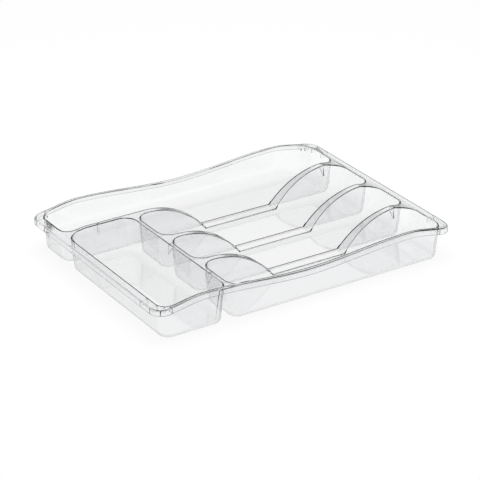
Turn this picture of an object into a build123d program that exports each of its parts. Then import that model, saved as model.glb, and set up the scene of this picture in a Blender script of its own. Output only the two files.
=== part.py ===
from build123d import *
import os
from dataclasses import dataclass
from math import atan2, cos, degrees, radians, sin, sqrt, tan

# A cutlery tray moulded in one piece of clear plastic, 397 mm long.
# Five drafted bins hang from one thin deck: a long one along the back, one across the left end,
# and three short ones, front, middle and back, beside it. The deck arches down between the short
# bins to a low ridge near the floor. A flange with a turned-down skirt runs round the outside.
# Its long sides rise and fall in a wave, and the deck bends down with them at both ends.
# +X runs along the tray, +Y from front to back, +Z up, and the tray stands on z = 0.
# The moulding is built as its zones, which meet face to face as they do in the mould.

# Overall sizes, in millimetres
length = 397.0
width = 290.5
deck_height = 44.5
wall = 1.6
draft_angle = 5.3

# Wave along the two long sides: how far it rises, dips and falls at the ends, measured from the
# deck, and where its crests and its level ends lie. Beyond the crests the deck follows it down.
crest_rise = 3.5
dip_drop = 4.8
end_drop = 4.1
crest_inset = 61.5
wave_end_inset = 3.5

# Flange and skirt
end_flange_width = 10.7
side_flange_width = 5.9
skirt_height = 7.3
rim_corner_radius = 17.0
rim_edge_radius = 2.5

# Bins, measured between their inner walls at deck height. The short bins share the width that the
# long one leaves, and the middle one is a little narrower than the other two.
long_bin_width = 60.8
middle_bin_narrowing = 3.8
cross_bin_width = 82.7
opening_radius = 15.4
floor_radius = 4.2

# Strips of deck between the bins
divider_width = 9.0
long_strip_width = 5.7
cross_strip_width = 5.9

# Arched dividers between the short bins: their arcs start a short run inside the rounded ends
arch_radius = 98.8
arch_run = 0.6
ridge_height = 5.5

# Ribs under the flange at each corner: two at the end, one across the corner and one at the side,
# placed from the outside of the rim
gusset_thickness = 1.2
gusset_depth = 5.6
end_gusset_inset = 17.0
next_gusset_inset = 36.5
side_gusset_inset = 19.8
corner_gusset_angle = 50.0

# Stacking ribs in the hollow under the deck, and where they stand
stop_thickness = 1.2
stop_short_drop = 5.0
stop_long_drop = 13.0
divider_stop_inset = 22.4
long_stop_inset = 42.7
cross_stop_front_inset = 40.4
cross_stop_middle_inset = 124.9

# One overrun serves every cut, and one tolerance finds edges by their place
overrun = 5.0
tolerance = 0.01

half_length = length / 2
half_width = width / 2
inner_x = half_length - end_flange_width
inner_y = half_width - side_flange_width
draft_run = tan(radians(draft_angle))
low_deck = deck_height - wall
top = deck_height + crest_rise + overrun


@dataclass(frozen=True)
class Bin:
    """One bin, as the corners of its opening at deck height."""

    left: float
    front: float
    right: float
    back: float

    def plan(self, grow, z):
        """Rounded outline at height z, grown sideways by a wall where one is asked for."""
        out = grow - (deck_height - z) * draft_run
        outline = RectangleRounded(
            self.right - self.left + 2 * out, self.back - self.front + 2 * out, opening_radius + out
        )
        return Pos((self.left + self.right) / 2, (self.front + self.back) / 2, z) * outline

    def solid(self, grow, floor, radius):
        """Drafted block with a rounded floor edge, open upwards past the crest."""
        block = loft([self.plan(grow, floor), self.plan(grow, top)], ruled=True)
        return fillet(block.edges().group_by(Axis.Z)[0], radius)

    @property
    def pocket(self):
        """The space inside the bin."""
        return self.solid(0, wall, floor_radius)

    @property
    def body(self):
        """The space inside the bin with its walls and floor."""
        return self.solid(wall, 0, floor_radius + wall)


# Places of the bins
long_front = inner_y - long_bin_width
cross_back = long_front - long_strip_width
cross_right = -inner_x + cross_bin_width
short_left = cross_right + cross_strip_width
short_widths = long_front + inner_y - 3 * divider_width
short_bin_width = (short_widths + middle_bin_narrowing) / 3
front_back = -inner_y + short_bin_width
middle_front = front_back + divider_width
middle_back = middle_front + short_bin_width - middle_bin_narrowing
back_front = middle_back + divider_width
back_back = long_front - divider_width

bins = {
    "long_bin": Bin(-inner_x, long_front, inner_x, inner_y),
    "cross_bin": Bin(-inner_x, -inner_y, cross_right, cross_back),
    "short_bin_front": Bin(short_left, -inner_y, inner_x, front_back),
    "short_bin_middle": Bin(short_left, middle_front, inner_x, middle_back),
    "short_bin_back": Bin(short_left, back_front, inner_x, back_back),
}
pockets = {name: each.pocket for name, each in bins.items()}
bodies = {name: each.body for name, each in bins.items()}

# Seams between the zones
seam_x = inner_x - opening_radius
seam_y = inner_y - opening_radius
cross_seam_left = cross_right - opening_radius
cross_seam_right = short_left + opening_radius


def block(x0, x1, y0, y1, z0, z1):
    """Box between two corners."""
    box = Box(x1 - x0, y1 - y0, z1 - z0)
    return Pos((x0 + x1) / 2, (y0 + y1) / 2, (z0 + z1) / 2) * box


def prism(line, level, y0, y1):
    """Solid between a line of edges along the tray and a level plane, from y0 to y1."""
    first, last = line[0] @ 0, line[-1] @ 1
    sides = Polyline(last, (last.X, 0, level), (first.X, 0, level), first)
    face = make_face(Wire(line + sides.edges()))
    return Pos(0, y0, 0) * extrude(face, amount=y1 - y0, dir=(0, 1, 0))


def without(shape, cutters):
    """Shape with each cutter taken away in turn."""
    for cutter in cutters:
        shape = shape - cutter
    return shape


def wave_line(drop):
    """Edges of the wave from left to right, lowered by drop."""
    end = half_length + overrun
    level = half_length - wave_end_inset
    crest = half_length - crest_inset
    end_z = deck_height - end_drop - drop
    crest_z = deck_height + crest_rise - drop
    dip_z = deck_height - dip_drop - drop
    marks = [(-level, end_z), (-crest, crest_z), (0, dip_z), (crest, crest_z), (level, end_z)]
    edges = [Line((-end, 0, end_z), (-level, 0, end_z))]
    for (x0, z0), (x1, z1) in zip(marks, marks[1:]):
        third = (x1 - x0) / 3
        edges.append(Bezier((x0, 0, z0), (x0 + third, 0, z0), (x1 - third, 0, z1), (x1, 0, z1)))
    edges.append(Line((level, 0, end_z), (end, 0, end_z)))
    return edges


def under_wave(drop):
    """All that lies lower than the wave less drop."""
    return prism(wave_line(drop), -overrun, -half_width - overrun, half_width + overrun)


def above_sides(drop):
    """All that lies higher than the wave less drop, along the front and along the back."""
    y_spans = (-half_width - overrun, -seam_y), (seam_y, half_width + overrun)
    return [prism(wave_line(drop), top + overrun, y0, y1) for y0, y1 in y_spans]


def above_ends(drop):
    """All that lies higher than the wave less drop, from its crests to the ends of the tray."""
    line = wave_line(drop)
    sides = half_width + overrun
    return [prism(part, top + overrun, -sides, sides) for part in (line[:2], line[-2:])]


def under_deck(drop):
    """All that lies lower than the deck's top less drop."""
    ends = half_length + overrun
    sides = half_width + overrun
    return without(block(-ends, ends, -sides, sides, -overrun, deck_height - drop), above_ends(drop))


def arch_line(drop):
    """Edges of a divider's top from left to right: deck, arch, ridge, arch and deck, lowered by drop."""
    centre_z = deck_height - arch_radius
    radius = arch_radius - drop
    ridge = ridge_height - drop
    reach = sqrt(radius**2 - (ridge - centre_z) ** 2)
    left = cross_seam_right + arch_run
    right = seam_x - arch_run
    bearing = degrees(atan2(ridge - centre_z, reach))
    ends = half_length + overrun
    high = deck_height - drop
    arch_plane = Plane((0, 0, 0), x_dir=(1, 0, 0), z_dir=(0, -1, 0))
    left_arc = arch_plane * CenterArc((left, centre_z), radius, bearing, 90 - bearing)
    right_arc = arch_plane * CenterArc((right, centre_z), radius, 90, 90 - bearing)
    return [
        Line((-ends, 0, high), (left, 0, high)),
        *left_arc.edges(),
        Line((left + reach, 0, ridge), (right - reach, 0, ridge)),
        *right_arc.edges(),
        Line((right, 0, high), (ends, 0, high)),
    ]


def above_arch(drop):
    """All that lies higher than the dividers' top less drop, clear of the outer walls."""
    y0, y1 = front_back - opening_radius, long_front + opening_radius
    return prism(arch_line(drop), top + overrun, y0, y1)


def side_slab(side, thickness):
    """Slab behind the inner face of a long side, which is -1 for the front and 1 for the back."""
    low_y = inner_y - deck_height * draft_run
    high_y = inner_y + (top - deck_height) * draft_run
    points = [(low_y, 0), (high_y, top), (high_y + thickness, top), (low_y + thickness, 0)]
    outline = Polyline(*[(-half_length - overrun, side * y, z) for y, z in points], close=True)
    return extrude(make_face(outline), amount=length + 2 * overrun, dir=(1, 0, 0))


# Cutters and blocks that several zones share
below_deck = under_deck(0)
below_deck_low = under_deck(wall)
over_sides_low = above_sides(wall)
over_arch_low = above_arch(wall)
over_arch = above_arch(0)
beyond_front = side_slab(-1, side_flange_width + overrun)
beyond_back = side_slab(1, side_flange_width + overrun)


def bin_shell(name):
    """Walls and floor of one bin, up to the underside of the deck, the arches or the flange."""
    return without(bodies[name] & below_deck_low, [pockets[name], *over_sides_low, over_arch_low])


def deck_piece(x0, x1, y0, y1, cutters):
    """Piece of the deck between the bins' openings."""
    piece = block(x0, x1, y0, y1, 0, deck_height) & below_deck
    return without(piece, [below_deck_low, *cutters])


def divider(near, far):
    """Arched cap that joins the walls of two bins."""
    y0 = (bins[near].back + bins[far].front) / 2 - opening_radius
    y1 = (bins[near].back + bins[far].front) / 2 + opening_radius
    cap = block(cross_seam_right, seam_x, y0, y1, 0, deck_height) & below_deck
    under = below_deck_low - over_arch_low
    return without(cap, [over_arch, under, pockets[near], pockets[far]])


def rounded_block(inset, drop, radius):
    """Block inside the rim's outline and under the wave less drop, with its upper border rounded."""
    outline = RectangleRounded(length - 2 * inset, width - 2 * inset, rim_corner_radius - inset)
    block = extrude(outline, amount=top) & under_wave(drop)
    border = outline.face().outer_wire()
    edges = []
    for edge in block.edges().filter_by(Axis.Z, reverse=True):
        point = edge @ 0.5
        if point.Z > skirt_height and border.distance_to(Vector(point.X, point.Y)) < tolerance:
            edges.append(edge)
    return fillet(edges, radius)


# The space inside the skirt and under the flange, and the flange with its skirt round it
under_flange = rounded_block(wall, wall, rim_edge_radius - wall)
rim_shell = rounded_block(0, 0, rim_edge_radius) - under_flange - under_wave(skirt_height)


def side_rim(side):
    """Wavy flange, skirt and upstand of one long side, between the corners."""
    beyond = beyond_front if side < 0 else beyond_back
    above_deck = block(-half_length, half_length, -half_width, half_width, low_deck, top)
    upstand = without(side_slab(side, wall) & above_deck, over_sides_low)
    rim = (rim_shell & beyond) + upstand
    return rim & block(-seam_x, seam_x, -half_width - overrun, half_width + overrun, 0, top)


def end_rim(side, openings):
    """Flange and skirt of one end, with the webs that join the strips to it."""
    x0, x1 = sorted((side * seam_x, side * (half_length + overrun)))
    zone = block(x0, x1, -seam_y, seam_y, 0, top)
    return without(rim_shell & zone, [pockets[name] for name in openings])


def rim_corner(side_x, side_y, name):
    """Corner of the flange and its skirt, round the corner of one bin."""
    x0, x1 = sorted((side_x * seam_x, side_x * (half_length + overrun)))
    y0, y1 = sorted((side_y * seam_y, side_y * (half_width + overrun)))
    return (rim_shell & block(x0, x1, y0, y1, 0, top)) - pockets[name]


def corner_gussets(side_x, side_y, name):
    """Ribs under the flange of one corner, between the bin and the skirt."""
    plate = Box(inner_x, gusset_thickness, top, align=(Align.MIN, Align.CENTER, Align.MIN))
    facing_end = 0 if side_x > 0 else 180
    facing_corner = degrees(
        atan2(side_y * sin(radians(corner_gusset_angle)), side_x * cos(radians(corner_gusset_angle)))
    )
    plates = [
        Pos(side_x * seam_x, side_y * (half_width - inset)) * Rot(0, 0, facing_end) * plate
        for inset in (end_gusset_inset, next_gusset_inset)
    ]
    plates.append(Pos(side_x * seam_x, side_y * seam_y) * Rot(0, 0, facing_corner) * plate)
    beside = side_x * (half_length - side_gusset_inset)
    plates.append(Pos(beside, side_y * seam_y) * Rot(0, 0, side_y * 90) * plate)
    room = under_flange - under_wave(gusset_depth + wall) - bodies[name]
    return Compound([solid for each in plates for solid in (each & room).solids()])


def stacking_rib(x0, x1, y0, y1, drops, neighbours):
    """Plate in the hollow under the deck, deeper on one side than on the other."""
    near, far = drops
    start = (x0, y0)
    if x1 - x0 > y1 - y0:
        end, across, thickness = (x1, y0), (0, 1, 0), y1 - y0
    else:
        end, across, thickness = (x0, y1), (1, 0, 0), x1 - x0
    points = [(*start, low_deck), (*end, low_deck), (*end, low_deck - far), (*start, low_deck - near)]
    rib = extrude(make_face(Polyline(*points, close=True)), amount=thickness, dir=across)
    return without(rib & below_deck_low, [bodies[name] for name in neighbours] + [over_arch_low])


def divider_stops():
    """Stacking ribs near the right end of the front and back dividers."""
    x1 = inner_x - divider_stop_inset
    ribs = []
    for near, far in (divider_pairs["divider_front"], divider_pairs["divider_back"]):
        ribs.append(
            stacking_rib(
                x1 - stop_thickness, x1, bins[near].back, bins[far].front,
                (stop_long_drop, stop_short_drop), (near, far),
            )
        )
    return Compound([solid for rib in ribs for solid in rib.solids()])


def strip_stops():
    """Stacking ribs under the strips round the cross bin."""
    x1 = -inner_x + long_stop_inset
    ribs = [
        stacking_rib(
            x1 - stop_thickness, x1, cross_back, long_front, (stop_long_drop, stop_short_drop),
            ("cross_bin", "long_bin"),
        )
    ]
    for inset, beside in (
        (cross_stop_front_inset, "short_bin_front"),
        (cross_stop_middle_inset, "short_bin_middle"),
    ):
        y0 = -inner_y + inset
        ribs.append(
            stacking_rib(
                cross_right, short_left, y0, y0 + stop_thickness, (stop_long_drop, stop_short_drop),
                ("cross_bin", beside),
            )
        )
    return Compound([solid for rib in ribs for solid in rib.solids()])


divider_pairs = {
    "divider_front": ("short_bin_front", "short_bin_middle"),
    "divider_middle": ("short_bin_middle", "short_bin_back"),
    "divider_back": ("short_bin_back", "long_bin"),
}
corners = {
    "front_left": (-1, -1, "cross_bin"),
    "front_right": (1, -1, "short_bin_front"),
    "back_left": (-1, 1, "long_bin"),
    "back_right": (1, 1, "long_bin"),
}

nodes = {name: bin_shell(name) for name in bins}
nodes |= {name: divider(near, far) for name, (near, far) in divider_pairs.items()}
nodes["long_strip"] = deck_piece(
    -seam_x, cross_seam_left, cross_back - wall, long_front + wall,
    [pockets["long_bin"], pockets["cross_bin"]],
)
nodes["cross_strip"] = deck_piece(
    cross_seam_left, cross_seam_right, -inner_y - overrun, long_front + wall,
    [*pockets.values(), beyond_front],
)
nodes["rim_front"] = side_rim(-1)
nodes["rim_back"] = side_rim(1)
nodes["rim_left"] = end_rim(-1, ["long_bin", "cross_bin"])
nodes["rim_right"] = end_rim(1, ["long_bin", "short_bin_back", "short_bin_middle", "short_bin_front"])
nodes |= {f"rim_corner_{name}": rim_corner(*where) for name, where in corners.items()}
nodes |= {f"gussets_{name}": corner_gussets(*where) for name, where in corners.items()}
nodes["stacking_ribs_dividers"] = divider_stops()
nodes["stacking_ribs_strips"] = strip_stops()

os.makedirs("parts", exist_ok=True)
for name, shape in nodes.items():
    export_step(shape, f"parts/{name}.step")
    print(name, len(shape.solids()), round(shape.volume, 1))
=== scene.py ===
"""A clear plastic cutlery tray on a pale floor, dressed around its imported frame."""

import logging
import math
from collections.abc import Callable
from dataclasses import dataclass, field
from enum import Enum
from functools import partial
from typing import ClassVar

import bmesh
import bpy
from bmesh.types import BMEdge, BMesh, BMFace, BMLayerItem, BMVert
from mathutils import Matrix, Vector


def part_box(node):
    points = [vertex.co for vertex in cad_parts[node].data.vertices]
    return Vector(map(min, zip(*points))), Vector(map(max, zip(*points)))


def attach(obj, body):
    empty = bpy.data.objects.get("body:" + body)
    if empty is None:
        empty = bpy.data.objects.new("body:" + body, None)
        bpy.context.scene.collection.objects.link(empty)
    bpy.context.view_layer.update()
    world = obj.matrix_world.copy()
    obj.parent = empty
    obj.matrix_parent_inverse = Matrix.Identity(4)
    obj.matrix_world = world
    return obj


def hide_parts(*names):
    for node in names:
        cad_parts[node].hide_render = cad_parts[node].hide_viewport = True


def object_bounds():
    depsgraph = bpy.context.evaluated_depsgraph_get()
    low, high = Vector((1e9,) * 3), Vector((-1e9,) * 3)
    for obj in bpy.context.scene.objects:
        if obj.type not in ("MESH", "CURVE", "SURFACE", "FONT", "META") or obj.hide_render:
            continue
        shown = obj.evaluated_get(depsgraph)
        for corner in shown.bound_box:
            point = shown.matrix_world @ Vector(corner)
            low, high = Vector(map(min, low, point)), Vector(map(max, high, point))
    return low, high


LOG = logging.getLogger("cutlery_tray")

# A new grid takes half of its side as its size, so this one has sides of 1.
UNIT_GRID_SIZE = 0.5

# The colour sockets of a Mix node share their names with its number sockets, so they are found by place.
MIX_FIRST_COLOUR = 6
MIX_SECOND_COLOUR = 7
MIX_RESULT_COLOUR = 2

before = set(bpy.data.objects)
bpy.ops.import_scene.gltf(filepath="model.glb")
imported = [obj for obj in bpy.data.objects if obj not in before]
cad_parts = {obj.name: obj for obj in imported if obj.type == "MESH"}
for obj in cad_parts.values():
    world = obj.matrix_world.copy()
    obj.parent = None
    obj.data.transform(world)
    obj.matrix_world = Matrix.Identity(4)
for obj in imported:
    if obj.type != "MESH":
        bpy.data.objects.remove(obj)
cad_low, cad_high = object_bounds()


def direction(turn: float, rise: float) -> Vector:
    """Direction that is turned to the right of +Y and then rises."""
    return Vector((math.sin(turn) * math.cos(rise), math.cos(turn) * math.cos(rise), math.sin(rise)))


def eased(share: float) -> float:
    """Share from 0 to 1 that starts and ends gently, as a wave does between its crest and its dip."""
    return share * share * (3 - 2 * share)


class Side(Enum):
    """A direction along one axis of the tray."""

    LOW = -1
    HIGH = 1


class Axis(Enum):
    """A level axis of the tray."""

    LENGTH = 0
    WIDTH = 1


@dataclass(frozen=True)
class TraySizes:
    """Sizes of the moulding in metres, apart from what the frame gives.

    Attributes:
        wall: Thickness of the walls, the floors and the flange.
        draft: How far the bins' walls lean.
        opening_radius: Radius of the bins' corners at deck height.
        floor_radius: Radius of the rounded edge of a floor.
        rim_corner_radius: Radius of the rim's outer corners.
        rim_edge_radius: Radius of the flange's rounded border.
        skirt_height: Height of the rim from the skirt's foot to the flange's top.
        end_flange_width: Width of the flange at the tray's ends.
        side_flange_width: Width of the flange along its sides.
        crest_rise: How far the wave's crests rise above the deck.
        dip_drop: How far the wave's dip lies below the deck.
        end_drop: How far its ends lie below the deck.
        crest_inset: Distance from a crest to the end of the tray.
        wave_end_inset: Distance from where the wave ends to the end of the tray.
        arch_radius: Radius of the dividers' arcs.
        arch_run: Level stretch between a bin's rounded corner and an arc.
        ridge_height: Height of the dividers between their arcs.
        fold_radius: Radius of the folds of the deck and the dividers.
        foot_radius: Radius of the edges of the skirt's foot.
    """

    wall: float = 0.0016
    draft: float = math.radians(5.3)
    opening_radius: float = 0.0154
    floor_radius: float = 0.0042
    rim_corner_radius: float = 0.017
    rim_edge_radius: float = 0.0025
    skirt_height: float = 0.0073
    end_flange_width: float = 0.0107
    side_flange_width: float = 0.0059
    crest_rise: float = 0.0035
    dip_drop: float = 0.0048
    end_drop: float = 0.0041
    crest_inset: float = 0.0615
    wave_end_inset: float = 0.0035
    arch_radius: float = 0.0988
    arch_run: float = 0.0006
    ridge_height: float = 0.0055
    fold_radius: float = 0.0013
    foot_radius: float = 0.00072

    @property
    def half_length(self) -> float:
        """Half of the tray's length, from the frame."""
        return (cad_high.x - cad_low.x) / 2

    @property
    def half_width(self) -> float:
        """Half of the tray's width, from the frame."""
        return (cad_high.y - cad_low.y) / 2

    @property
    def deck(self) -> float:
        """Height of the deck's top, below the crests of the wave."""
        return cad_high.z - self.crest_rise

    @property
    def inner_x(self) -> float:
        """Distance from the middle to the end walls at deck height."""
        return self.half_length - self.end_flange_width

    @property
    def inner_y(self) -> float:
        """Distance from the middle to the long walls at deck height."""
        return self.half_width - self.side_flange_width

    @property
    def draft_run(self) -> float:
        """How far a wall leans for each unit of height."""
        return math.tan(self.draft)

    @property
    def floor_centre_z(self) -> float:
        """Height of the centre of a floor's rounded edge."""
        return self.wall + self.floor_radius

    @property
    def wall_foot_z(self) -> float:
        """Height at which a wall meets the floor's rounded edge."""
        return self.floor_centre_z - self.floor_radius * math.sin(self.draft)

    @property
    def crest_x(self) -> float:
        """Distance from the middle to the crests of the wave."""
        return self.half_length - self.crest_inset

    def wave(self, x: float) -> float:
        """Height of the flange's top.

        Args:
            x: Place along the tray.

        Returns:
            The height there.
        """
        crest = self.deck + self.crest_rise
        far = abs(x)
        if far < self.crest_x:
            low = self.deck - self.dip_drop
            share = 1 - far / self.crest_x
        else:
            low = self.deck - self.end_drop
            share = min((far - self.crest_x) / (self.crest_inset - self.wave_end_inset), 1.0)
        return crest + (low - crest) * eased(share)

    def deck_top(self, x: float) -> float:
        """Height of the deck's top, which past the crests follows the wave down."""
        return min(self.deck, self.wave(x)) if abs(x) > self.crest_x else self.deck

    def lean(self, z: float) -> float:
        """How far a bin's inner face lies inside its opening at height z.

        Args:
            z: A height over the floor's top.

        Returns:
            The distance, which is negative above the deck.
        """
        if z >= self.wall_foot_z:
            return (self.deck - z) * self.draft_run
        centre = (self.deck - self.floor_centre_z) * self.draft_run + self.floor_radius / math.cos(self.draft)
        below = min(self.floor_centre_z - z, self.floor_radius)
        return centre - math.sqrt(self.floor_radius**2 - below**2)


@dataclass(frozen=True)
class Opening:
    """A rounded outline at deck height, such as the opening of one bin."""

    name: str
    left: float
    front: float
    right: float
    back: float
    radius: float

    @classmethod
    def of_node(cls, name: str, sizes: TraySizes) -> "Opening":
        """Finds the opening of a bin from its node's box.

        Args:
            name: The node's name.
            sizes: The tray's sizes.

        Returns:
            The opening.
        """
        low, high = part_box(name)
        skin = sizes.wall * (1 - sizes.draft_run)
        left = -sizes.inner_x if low.x < -sizes.inner_x else low.x + skin
        right = sizes.inner_x if high.x > sizes.inner_x else high.x - skin
        return cls(name, left, low.y + skin, right, high.y - skin, sizes.opening_radius)

    def inward(self, point: Vector) -> Vector:
        """Finds the level direction from a point of the outline to its inside.

        Args:
            point: The point, at any height.

        Returns:
            The direction, of length 1.
        """
        near_x = min(max(point.x, self.left + self.radius), self.right - self.radius)
        near_y = min(max(point.y, self.front + self.radius), self.back - self.radius)
        return Vector((near_x - point.x, near_y - point.y, 0)).normalized()

    def passes(self, point: Vector, reach: float) -> bool:
        """Says whether the outline passes a point.

        Args:
            point: A point at any height.
            reach: How near the outline has to be.

        Returns:
            Whether it is as near as that.
        """
        half_length, half_width = (self.right - self.left) / 2, (self.back - self.front) / 2
        beyond_x = abs(point.x - self.left - half_length) - half_length + self.radius
        beyond_y = abs(point.y - self.front - half_width) - half_width + self.radius
        inside = min(max(beyond_x, beyond_y), 0.0)
        outside = math.hypot(max(beyond_x, 0.0), max(beyond_y, 0.0))
        return abs(inside + outside - self.radius) < reach


@dataclass
class Arches:
    """The shape of the dividers between the short bins, seen from the front.

    Attributes:
        sizes: The tray's sizes.
        short: The opening of one short bin, beside which the arcs lie.
        left: Where the left arc starts to fall.
        right: Where the right arc starts to fall.
        centre_z: Height of both arcs' centres.
        reach: How far each arc runs before it meets the ridge.
    """

    sizes: TraySizes
    short: Opening
    left: float = field(init=False)
    right: float = field(init=False)
    centre_z: float = field(init=False)
    reach: float = field(init=False)

    def __post_init__(self) -> None:
        """Places the two arcs and the ridge."""
        sizes = self.sizes
        self.left = self.short.left + sizes.opening_radius + sizes.arch_run
        self.right = self.short.right - sizes.opening_radius - sizes.arch_run
        self.centre_z = sizes.deck - sizes.arch_radius
        self.reach = math.sqrt(sizes.arch_radius**2 - (sizes.ridge_height - self.centre_z) ** 2)

    def top(self, x: float) -> float:
        """Height of the deck or of a divider's top.

        Args:
            x: Place along the tray.

        Returns:
            The height.
        """
        run = max(min(x - self.left, self.right - x), 0.0)
        if run >= self.reach:
            return self.sizes.ridge_height
        return min(self.centre_z + math.sqrt(self.sizes.arch_radius**2 - run**2), self.sizes.deck_top(x))

    def stations(self, steps: int) -> list[float]:
        """Places of even turns along both arcs.

        Args:
            steps: How many parts each arc has.

        Returns:
            The places along the tray.
        """
        full = math.asin(self.reach / self.sizes.arch_radius)
        runs = [self.sizes.arch_radius * math.sin(full * step / steps) for step in range(steps + 1)]
        return [self.left + run for run in runs] + [self.right - run for run in runs]


@dataclass(frozen=True)
class Fineness:
    """How finely the moulding's curves are divided, and which of its edges can be rounded.

    Attributes:
        corner_segments: Parts of each rounded corner of an opening.
        floor_segments: Parts of the rounded edge of a floor.
        rim_segments: Parts of the flange's rounded border.
        arch_steps: Parts of each arc of a divider.
        edge_segments: Parts of a rounded fold.
        wave_step: Distance between two cuts along the wave.
        least_step_share: The least such distance, as a share of wave_step.
        weld: Points closer than this become one.
        touch: How near to an outline a point of it lies.
        sharp_angle: Faces that meet at more than this make an edge.
        flat_angle: Faces that meet at less than this are one wall.
        upright: The most that the normal of an upright wall rises.
        fold_share: How much of the face beside a fold its rounding may take.
        fold_clearance: How far rounding stays from where folds meet or end.
        most_walls: The farthest that a point's copy underneath may lie, as a multiple of the wall.
        tip_clearance: How far rounding stays from the thin tip of a face.
        tip_angle: A face that narrows to less than this has a thin tip.
    """

    corner_segments: int = 10
    floor_segments: int = 7
    rim_segments: int = 5
    arch_steps: int = 16
    edge_segments: int = 3
    wave_step: float = 0.008
    least_step_share: float = 0.4
    weld: float = 1e-5
    touch: float = 1e-4
    sharp_angle: float = math.radians(32.0)
    flat_angle: float = math.radians(1.5)
    upright: float = 0.25
    fold_share: float = 0.6
    fold_clearance: float = 0.002
    most_walls: float = 1.8
    tip_clearance: float = 0.0025
    tip_angle: float = math.radians(20.0)


@dataclass
class MouldingSkin:
    """The upper surface of the tray, from the floors of its bins to the foot of its skirt.

    Attributes:
        sizes: The tray's sizes.
        openings: The bins' openings.
        arches: The shape of the dividers.
        fine: How finely the curves are divided.
        rim: The outline in which the flange begins.
        bm: The mesh that is being made.
        base: Layer with each point's place at deck height.
        inward: Layer with each point's level direction into its bin.
        rim_edges: The edges of the rim's outline.
        bin_edges: The edges of each opening.
    """

    sizes: TraySizes
    openings: list[Opening]
    arches: Arches
    fine: Fineness
    rim: Opening = field(init=False)
    bm: BMesh = field(init=False)
    base: BMLayerItem = field(init=False)
    inward: BMLayerItem = field(init=False)
    rim_edges: list[BMEdge] = field(init=False)
    bin_edges: dict[str, list[BMEdge]] = field(init=False)

    def __post_init__(self) -> None:
        """Places the rim's outline and starts an empty mesh."""
        x, y = self.sizes.inner_x, self.sizes.inner_y
        self.rim = Opening("rim", -x, -y, x, y, self.sizes.opening_radius)
        self.bm = bmesh.new()
        self.base = self.bm.verts.layers.float_vector.new("base")
        self.inward = self.bm.verts.layers.float_vector.new("inward")

    def rounded_plate(self, opening: Opening) -> None:
        """Lays a flat plate with rounded corners at deck height.

        Args:
            opening: Its outline.
        """
        size = Matrix.Diagonal((opening.right - opening.left, opening.back - opening.front, 1, 1))
        middle = ((opening.left + opening.right) / 2, (opening.front + opening.back) / 2, self.sizes.deck)
        place = Matrix.Translation(middle) @ size
        made = bmesh.ops.create_grid(self.bm, x_segments=1, y_segments=1, size=UNIT_GRID_SIZE, matrix=place)
        bmesh.ops.bevel(
            self.bm, geom=made["verts"], offset=opening.radius, segments=self.fine.corner_segments,
            profile=0.5, affect="VERTICES", material=-1,
        )

    def cut_across(self, axis: Axis, places: list[float], geom: list[BMVert | BMEdge | BMFace]) -> None:
        """Cuts some of the mesh by planes square to one axis.

        Args:
            axis: The axis.
            places: Where the planes lie.
            geom: What is cut, or nothing for the whole mesh.
        """
        normal = Vector((0, 0, 0))
        normal[axis.value] = 1
        for place in places:
            cut = geom or [*self.bm.verts, *self.bm.edges, *self.bm.faces]
            made = bmesh.ops.bisect_plane(
                self.bm, geom=cut, dist=self.fine.weld, plane_co=normal * place, plane_no=normal
            )
            if geom:
                geom = made["geom"]

    def stations(self, fixed: set[float]) -> list[float]:
        """Places along the tray where the mesh is cut, none of them close to another.

        Args:
            fixed: Places that must be among them.

        Returns:
            The places in order.
        """
        chosen = sorted(fixed | set(self.arches.stations(self.fine.arch_steps)))
        walls = [x for each in self.openings for x in (each.left, each.right)]
        least = self.fine.wave_step * self.fine.least_step_share
        count = int(self.sizes.half_length / self.fine.wave_step)
        for step in range(-count, count + 1):
            x = step * self.fine.wave_step
            if all(abs(x - other) > least for other in [*chosen, *walls]):
                chosen.append(x)
        return sorted(chosen)

    def lies_on(self, edge: BMEdge, outline: Opening) -> bool:
        """Says whether an edge of the flat layout is part of an outline.

        Args:
            edge: The edge.
            outline: The outline.

        Returns:
            Whether its ends and its middle lie on the outline.
        """
        half_turn = math.pi / 2 / self.fine.corner_segments / 2
        sag = outline.radius * (1 - math.cos(half_turn))
        middle = (edge.verts[0].co + edge.verts[1].co) / 2
        ends = all(outline.passes(vert.co, self.fine.touch) for vert in edge.verts)
        return ends and outline.passes(middle, self.fine.touch + sag)

    def lay_out(self) -> None:
        """Makes the flat layout: five rounded openings and the deck between them."""
        for opening in [*self.openings, self.rim]:
            self.rounded_plate(opening)
        bmesh.ops.delete(self.bm, geom=list(self.bm.faces), context="FACES_ONLY")
        radius = self.sizes.opening_radius
        across = {x for each in self.openings for x in (each.left + radius, each.right - radius)}
        along = {y for each in self.openings for y in (each.front + radius, each.back - radius)}
        places = self.stations(across)
        self.cut_across(Axis.LENGTH, places, [])
        self.cut_across(Axis.WIDTH, sorted(along), [])
        bmesh.ops.remove_doubles(self.bm, verts=self.bm.verts, dist=self.fine.weld)
        self.rim_edges = [edge for edge in self.bm.edges if self.lies_on(edge, self.rim)]
        self.bin_edges = {
            each.name: [edge for edge in self.bm.edges if self.lies_on(edge, each)] for each in self.openings
        }
        in_bins = {edge for edges in self.bin_edges.values() for edge in edges}
        on_rim = set(self.rim_edges)
        border = [edge for edge in self.bm.edges if (edge in in_bins) != (edge in on_rim)]
        deck = bmesh.ops.contextual_create(self.bm, geom=border)["faces"]
        corners = dict.fromkeys(vert for edge in border for vert in edge.verts)
        self.cut_across(Axis.LENGTH, places, [*deck, *border, *corners])

    def mark_outlines(self) -> None:
        """Keeps for each point its place at deck height and the way into its bin."""
        for vert in self.bm.verts:
            vert[self.base] = vert.co
            vert[self.inward] = self.rim.inward(vert.co)
        for opening in self.openings:
            for edge in self.bin_edges[opening.name]:
                for vert in edge.verts:
                    vert[self.inward] = opening.inward(vert.co)

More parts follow.
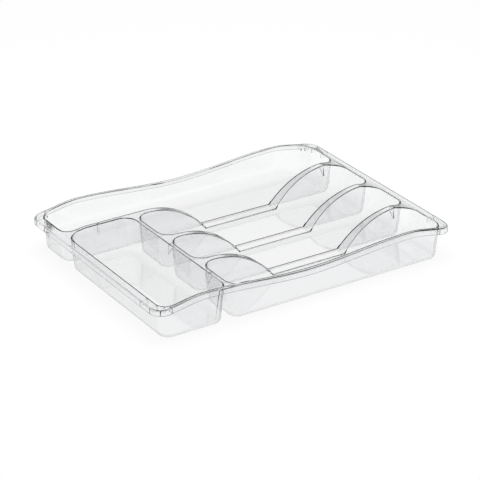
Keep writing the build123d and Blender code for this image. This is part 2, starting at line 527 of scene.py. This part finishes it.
    def level(self, point: Vector) -> float:
        """Finds the skin's height at a point of the deck or of the bins' openings.

        Args:
            point: The point, at any height.

        Returns:
            The height there.
        """
        if self.rim.passes(point, self.fine.touch):
            return min(self.sizes.wave(point.x), self.sizes.deck)
        return self.arches.top(point.x)

    def at_height(self, vert: BMVert, z: float) -> Vector:
        """Place of a point of a drafted wall at height z."""
        base = Vector((vert[self.base].x, vert[self.base].y, z))
        return base + vert[self.inward] * self.sizes.lean(z)

    def extrude_ring(self, edges: list[BMEdge], place: Callable[[BMVert], Vector]) -> list[BMEdge]:
        """Draws a new row of faces from a ring of edges.

        Args:
            edges: The ring.
            place: Gives the place of each new point.

        Returns:
            The new ring.
        """
        made = bmesh.ops.extrude_edge_only(self.bm, edges=edges)["geom"]
        verts = {item for item in made if isinstance(item, BMVert)}
        for vert in verts:
            vert.co = place(vert)
        return [item for item in made if isinstance(item, BMEdge) and set(item.verts) <= verts]

    def floor_edge_place(self, vert: BMVert, share: float) -> Vector:
        """Place of a point of the rounded edge of a floor.

        Args:
            vert: The point, which keeps its place at deck height.
            share: How far it is along the edge's arc, from 0 at the wall to 1 at the floor.

        Returns:
            The place. The arc starts lower where the wall over it ends lower.
        """
        sizes = self.sizes
        start_z = min(self.level(vert[self.base]), sizes.wall_foot_z)
        start = math.asin((sizes.floor_centre_z - start_z) / sizes.floor_radius)
        angle = start + (math.pi / 2 - start) * share
        return self.at_height(vert, sizes.floor_centre_z - sizes.floor_radius * math.sin(angle))

    def sink_bin(self, opening: Opening) -> None:
        """Makes the walls, the rounded floor edge and the floor of one bin.

        Args:
            opening: The bin's opening.
        """
        steps = self.fine.floor_segments
        ring = self.bin_edges[opening.name]
        for step in range(steps + 1):
            ring = self.extrude_ring(ring, partial(self.floor_edge_place, share=step / steps))
        bmesh.ops.contextual_create(self.bm, geom=ring)

    def upstand_place(self, vert: BMVert) -> Vector:
        """Place of a point of the upstand's top."""
        return self.at_height(vert, self.sizes.wave(vert[self.base].x))

    def outer_place(self, vert: BMVert, inset: float, drop: float) -> Vector:
        """Place of a point of the flange or the skirt beyond a point of its inner edge.

        Args:
            vert: The point, which keeps its place at deck height.
            inset: Distance from the outside of the rim.
            drop: Distance below the flange's top.

        Returns:
            The place.
        """
        sizes = self.sizes
        base = vert[self.base]
        x, y = abs(base.x), abs(base.y)
        corner = sizes.opening_radius + self.fine.weld
        run = Vector((x - sizes.inner_x + corner, y - sizes.inner_y + corner))
        if run.x > 0 and run.y > 0:
            run.normalize()
            reach = sizes.rim_corner_radius - inset
            x = sizes.half_length - sizes.rim_corner_radius + reach * run.x
            y = sizes.half_width - sizes.rim_corner_radius + reach * run.y
        elif run.y > 0:
            y = sizes.half_width - inset
        else:
            x = sizes.half_length - inset
        return Vector((math.copysign(x, base.x), math.copysign(y, base.y), sizes.wave(x) - drop))

    def raise_rim(self) -> None:
        """Makes the upstand, the flange, its rounded border and the skirt."""
        radius = self.sizes.rim_edge_radius
        for vert in {vert for edge in self.rim_edges for vert in edge.verts}:
            vert[self.inward] = self.rim.inward(vert[self.base])
        ring = self.extrude_ring(self.rim_edges, self.upstand_place)
        for step in range(self.fine.rim_segments + 1):
            turn = math.pi / 2 * step / self.fine.rim_segments
            inset = radius * (1 - math.sin(turn))
            drop = radius * (1 - math.cos(turn))
            ring = self.extrude_ring(ring, partial(self.outer_place, inset=inset, drop=drop))
        self.extrude_ring(ring, partial(self.outer_place, inset=0.0, drop=self.sizes.skirt_height))

    def flat_edges(self) -> list[BMEdge]:
        """Finds the level edges inside upright walls, which leave no room to round the folds above them.

        Returns:
            The edges.
        """
        found = []
        for edge in self.bm.edges:
            along = edge.verts[1].co - edge.verts[0].co
            level = abs(along.z) < along.length / 2
            upright = all(abs(face.normal.z) < self.fine.upright for face in edge.link_faces)
            if level and upright and edge.calc_face_angle(math.pi) < self.fine.flat_angle:
                found.append(edge)
        return found

    def build(self) -> bpy.types.Mesh:
        """Makes the whole skin.

        Returns:
            The open mesh, with its faces upwards.
        """
        self.lay_out()
        self.mark_outlines()
        for vert in self.bm.verts:
            vert.co = self.at_height(vert, self.level(vert[self.base]))
        for opening in self.openings:
            self.sink_bin(opening)
        self.raise_rim()
        bmesh.ops.remove_doubles(self.bm, verts=self.bm.verts, dist=self.fine.weld)
        bmesh.ops.dissolve_degenerate(self.bm, edges=self.bm.edges, dist=self.fine.weld)
        bmesh.ops.dissolve_edges(self.bm, edges=self.flat_edges(), use_verts=True)
        bmesh.ops.recalc_face_normals(self.bm, faces=self.bm.faces)
        widest = max(self.bm.faces, key=lambda face: face.calc_area())
        if widest.normal.z < 0:
            bmesh.ops.reverse_faces(self.bm, faces=self.bm.faces)
        layers = self.bm.verts.layers.float_vector
        for name in ("inward", "base"):
            layers.remove(layers[name])
        mesh = bpy.data.meshes.new("tray_moulding")
        self.bm.to_mesh(mesh)
        self.bm.free()
        return mesh


@dataclass
class RibSet:
    """The thin plates under the deck and the flange, which stiffen the rim and keep stacked trays apart.

    Insets of gussets are from the rim's outside, and those of stacking ribs are from the inner faces.

    Attributes:
        sizes: The tray's sizes.
        openings: The bins' openings by name.
        thickness: Thickness of each plate.
        root_share: How far a plate reaches into what carries it, as a share of the wall.
        gusset_depth: Depth of the gussets.
        end_gusset_inset: Place of the first gusset of an end, near the corner.
        next_gusset_inset: Place of the second one.
        side_gusset_inset: Place of the gusset of a long side.
        corner_angle: Direction of the gusset inside the corner.
        short_drop: Depth of a stacking rib at its far end.
        long_drop: Depth of a stacking rib at its near end.
        divider_inset: Place of the stacking ribs under the dividers.
        long_inset: Place of the stacking rib between the cross bin and the long bin.
        cross_front_inset: Place of the front one beside the cross bin.
        cross_middle_inset: Place of the one behind it.
        bm: The mesh that is being made.
    """

    sizes: TraySizes
    openings: dict[str, Opening]
    thickness: float = 0.0012
    root_share: float = 0.5
    gusset_depth: float = 0.0056
    end_gusset_inset: float = 0.017
    next_gusset_inset: float = 0.0365
    side_gusset_inset: float = 0.0198
    corner_angle: float = math.radians(50.0)
    short_drop: float = 0.005
    long_drop: float = 0.013
    divider_inset: float = 0.0224
    long_inset: float = 0.0427
    cross_front_inset: float = 0.0404
    cross_middle_inset: float = 0.1249
    bm: BMesh = field(init=False, default_factory=bmesh.new)

    def plate(
        self, start: Vector, end: Vector, drops: tuple[float, float], top: Callable[[float], float]
    ) -> None:
        """Adds an upright plate between two points, rooted in the deck or the flange.

        Args:
            start: One end of the plate, seen from above.
            end: The other end.
            drops: The plate's depth below the deck's underside, at its start and its end.
            top: Gives the height of the deck's or the flange's top at a place along the tray.
        """
        root = self.sizes.wall * self.root_share
        made = bmesh.ops.create_cube(self.bm, size=1.0)
        along = (end - start).normalized()
        beside = Vector((-along.y, along.x, 0)) * self.thickness
        lean = self.sizes.draft_run * (sum(drops) / 2 + root)
        for vert in made["verts"]:
            at_end, below = vert.co.x > 0, vert.co.z < 0
            place = end if at_end else start
            z = top(place.x) - root
            if below:
                place = place + along * (lean if at_end else -lean)
                z -= drops[at_end] + root
            vert.co = Vector((place.x, place.y, z)) + beside * vert.co.y

    def under_strip(self, low: Vector, high: Vector) -> None:
        """Adds a stacking rib across a strip of deck, from one bin's opening to the next."""
        root = (high - low).normalized() * self.sizes.wall * self.root_share
        self.plate(low + root, high - root, (self.long_drop, self.short_drop), self.sizes.deck_top)

    def build_stacking_ribs(self) -> None:
        """Adds the ribs under the outer dividers and the strips round the cross bin."""
        bins = self.openings
        x = self.sizes.inner_x - self.divider_inset - self.thickness / 2
        for near, far in (("short_bin_front", "short_bin_middle"), ("short_bin_back", "long_bin")):
            self.under_strip(Vector((x, bins[near].back, 0)), Vector((x, bins[far].front, 0)))
        x = -self.sizes.inner_x + self.long_inset - self.thickness / 2
        self.under_strip(Vector((x, bins["cross_bin"].back, 0)), Vector((x, bins["long_bin"].front, 0)))
        left, right = bins["cross_bin"].right, bins["short_bin_front"].left
        for inset in (self.cross_front_inset, self.cross_middle_inset):
            y = -self.sizes.inner_y + inset + self.thickness / 2
            self.under_strip(Vector((left, y, 0)), Vector((right, y, 0)))

    def gusset(self, x_side: Side, y_side: Side, start: Vector, end: Vector) -> None:
        """Adds a rib under the flange of one corner, given for the corner where both sides are high."""
        flip = Vector((x_side.value, y_side.value, 1))
        self.plate(start * flip, end * flip, (self.gusset_depth, self.gusset_depth), self.sizes.wave)

    def build_gussets(self) -> None:
        """Adds four ribs under the flange of each corner."""
        sizes = self.sizes
        root = sizes.wall * self.root_share
        inner_radius, outer_radius = sizes.opening_radius, sizes.rim_corner_radius
        corner = Vector((sizes.inner_x - inner_radius, sizes.inner_y - inner_radius, 0))
        outer = Vector((sizes.half_length - outer_radius, sizes.half_width - outer_radius, 0))
        inner_reach = inner_radius + root
        outer_reach = outer_radius - root
        for x_side in Side:
            for y_side in Side:
                for inset in (self.end_gusset_inset, self.next_gusset_inset):
                    y = sizes.half_width - inset
                    over_inner, over_outer = max(y - corner.y, 0.0), max(y - outer.y, 0.0)
                    start = Vector((corner.x + math.sqrt(inner_reach**2 - over_inner**2), y, 0))
                    end = Vector((outer.x + math.sqrt(outer_reach**2 - over_outer**2), y, 0))
                    self.gusset(x_side, y_side, start, end)
                turn = Vector((math.cos(self.corner_angle), math.sin(self.corner_angle), 0))
                self.gusset(x_side, y_side, corner + turn * inner_reach, outer + turn * outer_reach)
                x = sizes.half_length - self.side_gusset_inset
                over_inner = max(x - corner.x, 0.0)
                start = Vector((x, corner.y + math.sqrt(inner_reach**2 - over_inner**2), 0))
                end = Vector((x, sizes.half_width - root, 0))
                self.gusset(x_side, y_side, start, end)

    def build(self) -> bpy.types.Mesh:
        """Makes all the ribs.

        Returns:
            A mesh of separate closed plates.
        """
        self.build_stacking_ribs()
        self.build_gussets()
        bmesh.ops.recalc_face_normals(self.bm, faces=self.bm.faces)
        mesh = bpy.data.meshes.new("ribs")
        self.bm.to_mesh(mesh)
        self.bm.free()
        return mesh


@dataclass(frozen=True)
class ClearPlastic:
    """Clear, colourless, polished moulded plastic.

    Attributes:
        tint: What a surface seen straight on lets through.
        painted_grazing_shade: Painted shade, the dark colour that a surface takes instead of its tint where
            it is seen at a grazing angle, so that its edges and silhouettes look dark.
        painted_shade_start: Where the painted shade starts to take over, from 0, straight on, to 1, grazing.
        refraction: Index of refraction.
        roughness: The least roughness.
        roughness_spread: How much rougher some places are.
        ripple_scale: How close together the ripples are.
        ripple_detail: How many finer ripples lie on each.
        ripple_height: Height of the ripples.
        absorption: Colour of the light that passes through thick stretches.
        density: How strongly the plastic darkens with its thickness.
    """

    tint: tuple[float, float, float, float] = (0.985, 0.988, 0.99, 1.0)
    # Painted shade: black where a surface is seen at a grazing angle, which darkens its edges.
    painted_grazing_shade: tuple[float, float, float, float] = (0.0, 0.0, 0.0, 1.0)
    painted_shade_start: float = 0.5
    refraction: float = 1.5
    roughness: float = 0.02
    roughness_spread: float = 0.05
    ripple_scale: float = 45.0
    ripple_detail: float = 2.0
    ripple_height: float = 0.00008
    absorption: tuple[float, float, float, float] = (0.45, 0.47, 0.5, 1.0)
    density: float = 30.0

    def ripple_group(self) -> bpy.types.NodeTree:
        """Builds the slight unevenness of a moulded surface as a node group.

        Returns:
            The group, with a height and a roughness.
        """
        group = bpy.data.node_groups.new("moulded_ripple", "ShaderNodeTree")
        for name in ("Scale", "Smooth", "Rough"):
            group.interface.new_socket(name, in_out="INPUT", socket_type="NodeSocketFloat")
        for name in ("Height", "Roughness"):
            group.interface.new_socket(name, in_out="OUTPUT", socket_type="NodeSocketFloat")
        nodes, links = group.nodes, group.links
        given = nodes.new("NodeGroupInput")
        result = nodes.new("NodeGroupOutput")
        place = nodes.new("ShaderNodeTexCoord")
        noise = nodes.new("ShaderNodeTexNoise")
        noise.inputs["Detail"].default_value = self.ripple_detail
        spread = nodes.new("ShaderNodeMapRange")
        links.new(place.outputs["Object"], noise.inputs["Vector"])
        links.new(given.outputs["Scale"], noise.inputs["Scale"])
        links.new(noise.outputs["Fac"], result.inputs["Height"])
        links.new(noise.outputs["Fac"], spread.inputs["Value"])
        links.new(given.outputs["Smooth"], spread.inputs["To Min"])
        links.new(given.outputs["Rough"], spread.inputs["To Max"])
        links.new(spread.outputs["Result"], result.inputs["Roughness"])
        return group

    def painted_shade_colour(self, nodes: bpy.types.Nodes, links: bpy.types.NodeLinks) -> bpy.types.NodeSocket:
        """Paints shade into the colour: darkens the surface where it is seen at a grazing angle, so that its
        edges look dark.

        Args:
            nodes: The nodes of the material.
            links: Their links.

        Returns:
            The socket with the colour.
        """
        weight = nodes.new("ShaderNodeLayerWeight")
        grazing = nodes.new("ShaderNodeMapRange")
        grazing.interpolation_type = "SMOOTHSTEP"
        grazing.inputs["From Min"].default_value = self.painted_shade_start
        tint = nodes.new("ShaderNodeMix")
        tint.data_type = "RGBA"
        tint.inputs[MIX_FIRST_COLOUR].default_value = self.tint
        # The painted shade, mixed in towards grazing angles.
        tint.inputs[MIX_SECOND_COLOUR].default_value = self.painted_grazing_shade
        links.new(weight.outputs["Facing"], grazing.inputs["Value"])
        links.new(grazing.outputs["Result"], tint.inputs["Factor"])
        return tint.outputs[MIX_RESULT_COLOUR]

    def build(self) -> bpy.types.Material:
        """Makes the material.

        Returns:
            The material.
        """
        material = bpy.data.materials.new("clear_plastic")
        material.use_nodes = True
        nodes, links = material.node_tree.nodes, material.node_tree.links
        shader = nodes["Principled BSDF"]
        shader.inputs["Transmission Weight"].default_value = 1.0
        shader.inputs["IOR"].default_value = self.refraction
        # The base colour carries the painted shade at grazing angles.
        links.new(self.painted_shade_colour(nodes, links), shader.inputs["Base Color"])
        ripple = nodes.new("ShaderNodeGroup")
        ripple.node_tree = self.ripple_group()
        ripple.inputs["Scale"].default_value = self.ripple_scale
        ripple.inputs["Smooth"].default_value = self.roughness
        ripple.inputs["Rough"].default_value = self.roughness + self.roughness_spread
        bump = nodes.new("ShaderNodeBump")
        bump.inputs["Distance"].default_value = self.ripple_height
        links.new(ripple.outputs["Height"], bump.inputs["Height"])
        links.new(bump.outputs["Normal"], shader.inputs["Normal"])
        links.new(ripple.outputs["Roughness"], shader.inputs["Roughness"])
        absorb = nodes.new("ShaderNodeVolumeAbsorption")
        absorb.inputs["Color"].default_value = self.absorption
        absorb.inputs["Density"].default_value = self.density
        links.new(absorb.outputs["Volume"], nodes["Material Output"].inputs["Volume"])
        return material


@dataclass
class CutleryTray:
    """The whole tray as one moulding, as it leaves its mould.

    Attributes:
        bin_names: The nodes of the bins.
        sizes: The tray's sizes.
        fine: How finely its curves are divided.
        openings: The bins' openings by name.
    """

    bin_names: ClassVar[tuple[str, ...]] = (
        "long_bin", "cross_bin", "short_bin_front", "short_bin_middle", "short_bin_back",
    )

    sizes: TraySizes
    fine: Fineness
    openings: dict[str, Opening] = field(init=False)

    def __post_init__(self) -> None:
        """Finds the bins in the frame."""
        self.openings = {name: Opening.of_node(name, self.sizes) for name in self.bin_names}

    def build(self, material: bpy.types.Material) -> bpy.types.Object:
        """Makes the moulding and gives it its finish.

        Args:
            material: The finish.

        Returns:
            The finished piece.
        """
        arches = Arches(self.sizes, self.openings["short_bin_front"])
        skin = MouldingSkin(self.sizes, list(self.openings.values()), arches, self.fine)
        tray = bpy.data.objects.new("tray_moulding", skin.build())
        ribs = bpy.data.objects.new("ribs", RibSet(self.sizes, self.openings).build())
        for each in (tray, ribs):
            bpy.context.scene.collection.objects.link(each)
        self.thicken(tray)
        self.join(tray, ribs)
        self.smooth(tray)
        tray.data.materials.clear()
        tray.data.materials.append(material)
        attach(tray, "root")
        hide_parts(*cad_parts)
        return tray

    def bake(self, piece: bpy.types.Object) -> None:
        """Turns a piece's modifiers into its own mesh.

        Args:
            piece: The piece.
        """
        graph = bpy.context.evaluated_depsgraph_get()
        mesh = bpy.data.meshes.new_from_object(piece.evaluated_get(graph))
        piece.modifiers.clear()
        piece.data = mesh

    def thicken(self, tray: bpy.types.Object) -> None:
        """Rounds the skin's folds, gives it its wall thickness and rounds its foot.

        Args:
            tray: The piece, which holds the open skin.
        """
        self.weigh_folds(tray)
        self.round_edges(tray, self.sizes.fold_radius)
        skin = [(vert.co.copy(), vert.normal.copy()) for vert in tray.data.vertices]
        solid = tray.modifiers.new("wall", "SOLIDIFY")
        solid.thickness = self.sizes.wall
        solid.offset = -1.0
        solid.use_even_offset = True
        solid.use_quality_normals = True
        self.bake(tray)
        for (place, normal), below in zip(skin, tray.data.vertices[len(skin):]):
            if (below.co - place).length > self.sizes.wall * self.fine.most_walls:
                below.co = place - normal * self.sizes.wall
        self.weigh_foot(tray)
        self.round_edges(tray, self.sizes.foot_radius)

    def round_edges(self, tray: bpy.types.Object, radius: float) -> None:
        """Rounds the weighted edges of the moulding.

        Args:
            tray: The piece.
            radius: The radius of its rounded edges.
        """
        edges = tray.modifiers.new("edges", "BEVEL")
        edges.width = radius
        edges.segments = self.fine.edge_segments
        edges.limit_method = "WEIGHT"
        edges.use_clamp_overlap = False
        self.bake(tray)

    def weigh_folds(self, tray: bpy.types.Object) -> None:
        """Marks the folds that have room to be rounded, away from where folds meet, end or narrow.

        Args:
            tray: The piece, which holds the open skin.
        """
        bm = bmesh.new()
        bm.from_mesh(tray.data)
        weight = bm.edges.layers.float.new("bevel_weight_edge")
        least_room = self.sizes.fold_radius / self.fine.fold_share
        folds = {edge for edge in bm.edges if edge.calc_face_angle(0.0) > self.fine.sharp_angle}
        tight = {edge for edge in folds if self.room_beside(edge) < least_room}
        points = {vert for edge in folds for vert in edge.verts}
        ends = {vert for edge in tight for vert in edge.verts}
        ends |= {vert for vert in points if len(folds.intersection(vert.link_edges)) != 2}
        tips = {vert for vert in points if self.is_tip(vert, folds)}
        for edge in folds - tight:
            from_end = self.nearest(edge, ends)
            from_tip = self.nearest(edge, tips)
            clear = from_end > self.fine.fold_clearance and from_tip > self.fine.tip_clearance
            edge[weight] = float(clear)
        bm.to_mesh(tray.data)
        bm.free()

    def nearest(self, edge: BMEdge, points: set[BMVert]) -> float:
        """Distance from the ends of an edge to the nearest of some points."""
        return min(((vert.co - point.co).length for vert in edge.verts for point in points), default=math.inf)

    def is_tip(self, vert: BMVert, folds: set[BMEdge]) -> bool:
        """Says whether a face beside a fold narrows to a thin tip at a point.

        Args:
            vert: The point.
            folds: All the folds.

        Returns:
            Whether it does.
        """
        for edge in folds.intersection(vert.link_edges):
            along = edge.other_vert(vert).co - vert.co
            for other in set(vert.link_edges) - folds:
                if along.angle(other.other_vert(vert).co - vert.co) < self.fine.tip_angle:
                    return True
        return False

    def room_beside(self, edge: BMEdge) -> float:
        """Finds the width of the narrower face beside an edge.

        Args:
            edge: The edge.

        Returns:
            The width.
        """
        start = edge.verts[0].co
        along = (edge.verts[1].co - start).normalized()
        widths = []
        for face in edge.link_faces:
            widths.append(max((vert.co - start).cross(along).length for vert in face.verts))
        return min(widths)

    def weigh_foot(self, tray: bpy.types.Object) -> None:
        """Marks the edges of the skirt's foot.

        Args:
            tray: The piece, with its wall thickness.
        """
        sizes = self.sizes
        bm = bmesh.new()
        bm.from_mesh(tray.data)
        weight = bm.edges.layers.float.get("bevel_weight_edge")
        for edge in bm.edges:
            point = (edge.verts[0].co + edge.verts[1].co) / 2
            beyond = max(abs(point.x) - sizes.inner_x, abs(point.y) - sizes.inner_y)
            on_skirt = beyond > 0 and point.z < sizes.wave(point.x) - sizes.skirt_height / 2
            edge[weight] = float(on_skirt and edge.calc_face_angle(0.0) > self.fine.sharp_angle)
        bm.to_mesh(tray.data)
        bm.free()

    def join(self, tray: bpy.types.Object, ribs: bpy.types.Object) -> None:
        """Unites the ribs with the tray.

        Args:
            tray: The tray.
            ribs: The ribs, which are deleted afterwards.
        """
        union = tray.modifiers.new("ribs", "BOOLEAN")
        union.operation = "UNION"
        union.solver = "MANIFOLD"
        union.object = ribs
        self.bake(tray)
        bpy.data.objects.remove(ribs)

    def smooth(self, tray: bpy.types.Object) -> None:
        """Shades round faces smooth and keeps flat ones flat.

        Args:
            tray: The whole moulding.
        """
        for face in tray.data.polygons:
            face.use_smooth = True
        tray.data.set_sharp_from_angle(angle=self.fine.sharp_angle)
        weighted = tray.modifiers.new("weighted", "WEIGHTED_NORMAL")
        weighted.keep_sharp = True
        self.bake(tray)


@dataclass(frozen=True)
class Studio:
    """The pale floor, the soft light and the camera.

    Attributes:
        floor_reach: Half of the floor's side.
        floor_gap: How far the floor lies below the tray.
        floor_colour: The floor's own colour, where the lamp lights it.
        floor_roughness: Roughness of the floor.
        seen_white_share: Share of plain white in the floor where it is seen, beside its lit colour.
        white: The colour of the background and of the panel.
        panel_turn: Direction of the bright panel behind the tray, to the right of +Y.
        panel_rise: Its height above the horizon.
        panel_inner: Angle from its middle within which it is evenly bright.
        panel_outer: Angle from its middle where its light ends.
        panel_light: Strength of its light.
        room_light: Strength of the light from elsewhere.
        lamp_height: Height of the lamp over the floor.
        lamp_reach: Diameter of the lamp.
        lamp_power: Its power in watts.
        lens: Focal length of the camera in millimetres.
        yaw: Direction of its view, to the right of +Y.
        pitch: How far its view falls.
        target: The point at the middle of the view.
        distance: Distance from the camera to that point.
        light_bounces: How many surfaces a ray may pass.
    """

    floor_reach: float = 4.0
    floor_gap: float = 0.0002
    floor_colour: tuple[float, float, float, float] = (0.86, 0.86, 0.86, 1.0)
    floor_roughness: float = 1.0
    seen_white_share: float = 0.94
    white: tuple[float, float, float, float] = (1.0, 1.0, 1.0, 1.0)
    panel_turn: float = math.radians(32.7)
    panel_rise: float = math.radians(28.0)
    panel_inner: float = math.radians(10.0)
    panel_outer: float = math.radians(16.0)
    panel_light: float = 1.0
    room_light: float = 0.0
    lamp_height: float = 1.6
    lamp_reach: float = 1.8
    lamp_power: float = 44.0
    lens: float = 166.44
    yaw: float = math.radians(32.68)
    pitch: float = math.radians(26.13)
    target: tuple[float, float, float] = (0.00026, 0.00114, 0.015)
    distance: float = 2.5748
    light_bounces: int = 40

    def white_when_seen(self, nodes: bpy.types.Nodes, links: bpy.types.NodeLinks) -> bpy.types.NodeSocket:
        """Tells apart the rays that show the background.

        Args:
            nodes: The nodes of a material.
            links: Their links.

        Returns:
            A socket that is 1 for rays from the camera, a reflection or through the plastic.
        """
        path = nodes.new("ShaderNodeLightPath")
        seen = path.outputs["Is Camera Ray"]
        for name in ("Is Transmission Ray", "Is Glossy Ray"):
            either = nodes.new("ShaderNodeMath")
            either.operation = "MAXIMUM"
            links.new(seen, either.inputs[0])
            links.new(path.outputs[name], either.inputs[1])
            seen = either.outputs["Value"]
        return seen

    def build_floor(self) -> None:
        """Makes the floor, white where it is seen and pale where it is lit."""
        bm = bmesh.new()
        place = Matrix.Translation((0, 0, -self.floor_gap))
        bmesh.ops.create_grid(bm, x_segments=1, y_segments=1, size=self.floor_reach, matrix=place)
        mesh = bpy.data.meshes.new("floor")
        bm.to_mesh(mesh)
        bm.free()
        floor = bpy.data.objects.new("floor", mesh)
        bpy.context.scene.collection.objects.link(floor)
        material = bpy.data.materials.new("pale_floor")
        material.use_nodes = True
        nodes, links = material.node_tree.nodes, material.node_tree.links
        matt = nodes["Principled BSDF"]
        matt.inputs["Base Color"].default_value = self.floor_colour
        matt.inputs["Roughness"].default_value = self.floor_roughness
        matt.inputs["Specular IOR Level"].default_value = 0.0
        white = nodes.new("ShaderNodeEmission")
        share = nodes.new("ShaderNodeMath")
        share.operation = "MULTIPLY"
        share.inputs[1].default_value = self.seen_white_share
        links.new(self.white_when_seen(nodes, links), share.inputs[0])
        mix = nodes.new("ShaderNodeMixShader")
        links.new(share.outputs["Value"], mix.inputs["Fac"])
        links.new(matt.outputs["BSDF"], mix.inputs[1])
        links.new(white.outputs["Emission"], mix.inputs[2])
        links.new(mix.outputs["Shader"], nodes["Material Output"].inputs["Surface"])
        mesh.materials.append(material)

    def build_world(self) -> None:
        """Makes a dark room with a bright round panel behind the tray, which the camera sees as all white."""
        world = bpy.data.worlds.new("studio")
        world.use_nodes = True
        nodes, links = world.node_tree.nodes, world.node_tree.links
        room = nodes["Background"]
        room.inputs["Color"].default_value = self.white
        place = nodes.new("ShaderNodeTexCoord")
        toward = nodes.new("ShaderNodeVectorMath")
        toward.operation = "DOT_PRODUCT"
        toward.inputs[1].default_value = direction(self.panel_turn, self.panel_rise)
        panel = nodes.new("ShaderNodeMapRange")
        panel.interpolation_type = "SMOOTHSTEP"
        panel.inputs["From Min"].default_value = math.cos(self.panel_outer)
        panel.inputs["From Max"].default_value = math.cos(self.panel_inner)
        panel.inputs["To Min"].default_value = self.room_light
        panel.inputs["To Max"].default_value = self.panel_light
        links.new(place.outputs["Generated"], toward.inputs[0])
        links.new(toward.outputs["Value"], panel.inputs["Value"])
        links.new(panel.outputs["Result"], room.inputs["Strength"])
        white = nodes.new("ShaderNodeBackground")
        white.inputs["Color"].default_value = self.white
        path = nodes.new("ShaderNodeLightPath")
        mix = nodes.new("ShaderNodeMixShader")
        links.new(path.outputs["Is Camera Ray"], mix.inputs["Fac"])
        links.new(room.outputs["Background"], mix.inputs[1])
        links.new(white.outputs["Background"], mix.inputs[2])
        links.new(mix.outputs["Shader"], nodes["World Output"].inputs["Surface"])
        bpy.context.scene.world = world

    def build_lamp(self) -> None:
        """Hangs one large soft lamp over the tray, which shows in no reflection."""
        light = bpy.data.lights.new("overhead", "AREA")
        light.shape = "DISK"
        light.size = self.lamp_reach
        light.energy = self.lamp_power
        lamp = bpy.data.objects.new("overhead", light)
        lamp.location = (0, 0, self.lamp_height)
        lamp.visible_glossy = False
        lamp.visible_transmission = False
        bpy.context.scene.collection.objects.link(lamp)

    def build_camera(self) -> None:
        """Sets the camera at the photograph's angle."""
        data = bpy.data.cameras.new("camera")
        data.lens = self.lens
        camera = bpy.data.objects.new("camera", data)
        camera.location = Vector(self.target) - direction(self.yaw, -self.pitch) * self.distance
        camera.rotation_euler = (math.pi / 2 - self.pitch, 0, -self.yaw)
        bpy.context.scene.collection.objects.link(camera)
        bpy.context.scene.camera = camera

    def build(self) -> None:
        """Makes the whole studio."""
        self.build_floor()
        self.build_world()
        self.build_lamp()
        self.build_camera()
        scene = bpy.context.scene
        scene.view_settings.view_transform = "Standard"
        scene.cycles.max_bounces = self.light_bounces
        scene.cycles.transmission_bounces = self.light_bounces
        scene.cycles.glossy_bounces = self.light_bounces


def main() -> None:
    logging.basicConfig(level=logging.INFO)
    sizes = TraySizes()
    plastic = ClearPlastic().build()
    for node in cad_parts.values():
        node.data.materials.clear()
        node.data.materials.append(plastic)
    tray = CutleryTray(sizes, Fineness()).build(plastic)
    LOG.info("%s has %d faces", tray.name, len(tray.data.polygons))
    Studio().build()


if __name__ == "__main__":
    main()
